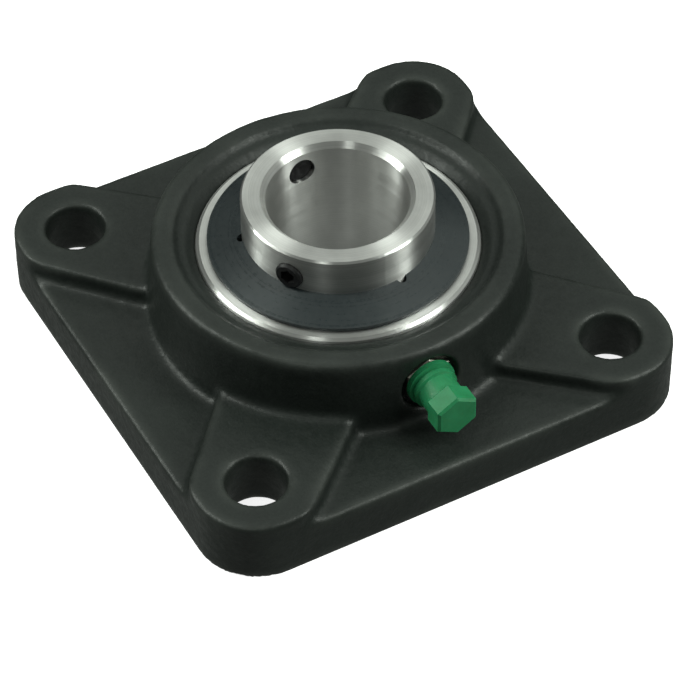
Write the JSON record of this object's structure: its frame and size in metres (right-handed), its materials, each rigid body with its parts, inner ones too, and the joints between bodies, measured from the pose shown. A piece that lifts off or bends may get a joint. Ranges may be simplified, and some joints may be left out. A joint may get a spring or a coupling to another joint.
{
  "type": "flange mount bearing",
  "caption": "Square flange housing with a round hub that holds a self-aligning ball bearing insert for a shaft locked by set screws, with a capped grease nipple.",
  "frame": {"origin": "centre of the flat mounting face, on the shaft axis", "axes": "+Z along the shaft axis, from the mounting face towards the open hub; +X towards the grease nipple; bolt holes on the diagonals"},
  "size_m": [0.1094, 0.1094, 0.0396],
  "materials": {
    "cast_iron_paint": "black paint on rough cast iron",
    "bearing_steel": "ground",
    "cage_steel": "pressed sheet",
    "seal_rubber": "matte",
    "dark_sheet_steel": "blued, glossy",
    "black_screw_steel": "black oxide",
    "plated_steel": "zinc plated",
    "green_plastic": "soft moulded"
  },
  "bodies": {
    "housing": {"housing": "cast_iron_paint", "grease_nipple": "plated_steel", "nipple_spring": "plated_steel"},
    "outer_ring": {"outer_ring": "bearing_steel", "seal_front": "seal_rubber", "seal_back": "seal_rubber"},
    "inner_ring": {"inner_ring": "bearing_steel", "slinger_front": "dark_sheet_steel", "slinger_back": "dark_sheet_steel"},
    "cage": {"cage_front": "cage_steel", "cage_back": "cage_steel", "cage_rivets": "cage_steel"},
    "set_screw_1": {"set_screw_1": "black_screw_steel"},
    "set_screw_2": {"set_screw_2": "black_screw_steel"},
    "nipple_cap": {"nipple_cap": "green_plastic"},
    "nipple_check_ball": {"nipple_check_ball": "bearing_steel"},
    "ball_1": {"ball_1": "bearing_steel"},
    "ball_2": {"ball_2": "bearing_steel"},
    "ball_3": {"ball_3": "bearing_steel"},
    "ball_4": {"ball_4": "bearing_steel"},
    "ball_5": {"ball_5": "bearing_steel"},
    "ball_6": {"ball_6": "bearing_steel"},
    "ball_7": {"ball_7": "bearing_steel"},
    "ball_8": {"ball_8": "bearing_steel"},
    "ball_9": {"ball_9": "bearing_steel"}
  },
  "joints": [
    {"name": "insert_tilt", "type": "hinge", "parent": "housing", "child": "outer_ring", "pos_m": [0, 0, 0.0176], "axis": [1, 0, 0], "range_deg": [-2, 2]},
    {"name": "shaft_spin", "type": "hinge", "parent": "outer_ring", "child": "inner_ring", "pos_m": [0, 0, 0.0176], "axis": [0, 0, 1], "continuous": true},
    {"name": "cage_spin", "type": "hinge", "parent": "outer_ring", "child": "cage", "pos_m": [0, 0, 0.0176], "axis": [0, 0, 1], "continuous": true},
    {"name": "set_screw_1_slide", "type": "slide", "parent": "inner_ring", "child": "set_screw_1", "axis": [0.5299, -0.848, 0], "range_m": [-0.0005, 0.006]},
    {"name": "set_screw_2_slide", "type": "slide", "parent": "inner_ring", "child": "set_screw_2", "axis": [-0.9994, -0.0349, 0], "range_m": [-0.0005, 0.006]},
    {"name": "cap_pull", "type": "slide", "parent": "housing", "child": "nipple_cap", "axis": [1, 0, 0], "range_m": [0, 0.012]},
    {"name": "check_ball_press", "type": "slide", "parent": "housing", "child": "nipple_check_ball", "axis": [-1, 0, 0], "range_m": [0, 0.001], "stiffness_N_per_m": 200, "springref_m": -0.001, "deforming": ["nipple_spring"]},
    {"name": "ball_1_roll", "type": "hinge", "parent": "cage", "child": "ball_1", "pos_m": [0.023, 0, 0.0176], "axis": [0, 0, 1], "continuous": true},
    {"name": "ball_2_roll", "type": "hinge", "parent": "cage", "child": "ball_2", "pos_m": [0.01762, 0.01478, 0.0176], "axis": [0, 0, 1], "continuous": true},
    {"name": "ball_3_roll", "type": "hinge", "parent": "cage", "child": "ball_3", "pos_m": [0.00399, 0.02265, 0.0176], "axis": [0, 0, 1], "continuous": true},
    {"name": "ball_4_roll", "type": "hinge", "parent": "cage", "child": "ball_4", "pos_m": [-0.0115, 0.01992, 0.0176], "axis": [0, 0, 1], "continuous": true},
    {"name": "ball_5_roll", "type": "hinge", "parent": "cage", "child": "ball_5", "pos_m": [-0.02161, 0.00787, 0.0176], "axis": [0, 0, 1], "continuous": true},
    {"name": "ball_6_roll", "type": "hinge", "parent": "cage", "child": "ball_6", "pos_m": [-0.02161, -0.00787, 0.0176], "axis": [0, 0, 1], "continuous": true},
    {"name": "ball_7_roll", "type": "hinge", "parent": "cage", "child": "ball_7", "pos_m": [-0.0115, -0.01992, 0.0176], "axis": [0, 0, 1], "continuous": true},
    {"name": "ball_8_roll", "type": "hinge", "parent": "cage", "child": "ball_8", "pos_m": [0.00399, -0.02265, 0.0176], "axis": [0, 0, 1], "continuous": true},
    {"name": "ball_9_roll", "type": "hinge", "parent": "cage", "child": "ball_9", "pos_m": [0.01762, -0.01478, 0.0176], "axis": [0, 0, 1], "continuous": true}
  ],
  "couplings": [
    {"joint": "cage_spin", "follows": "shaft_spin", "ratio": 0.39647},
    {"joint": "ball_1_roll", "follows": "shaft_spin", "ratio": -2.3112},
    {"joint": "ball_2_roll", "follows": "shaft_spin", "ratio": -2.3112},
    {"joint": "ball_3_roll", "follows": "shaft_spin", "ratio": -2.3112},
    {"joint": "ball_4_roll", "follows": "shaft_spin", "ratio": -2.3112},
    {"joint": "ball_5_roll", "follows": "shaft_spin", "ratio": -2.3112},
    {"joint": "ball_6_roll", "follows": "shaft_spin", "ratio": -2.3112},
    {"joint": "ball_7_roll", "follows": "shaft_spin", "ratio": -2.3112},
    {"joint": "ball_8_roll", "follows": "shaft_spin", "ratio": -2.3112},
    {"joint": "ball_9_roll", "follows": "shaft_spin", "ratio": -2.3112}
  ]
}
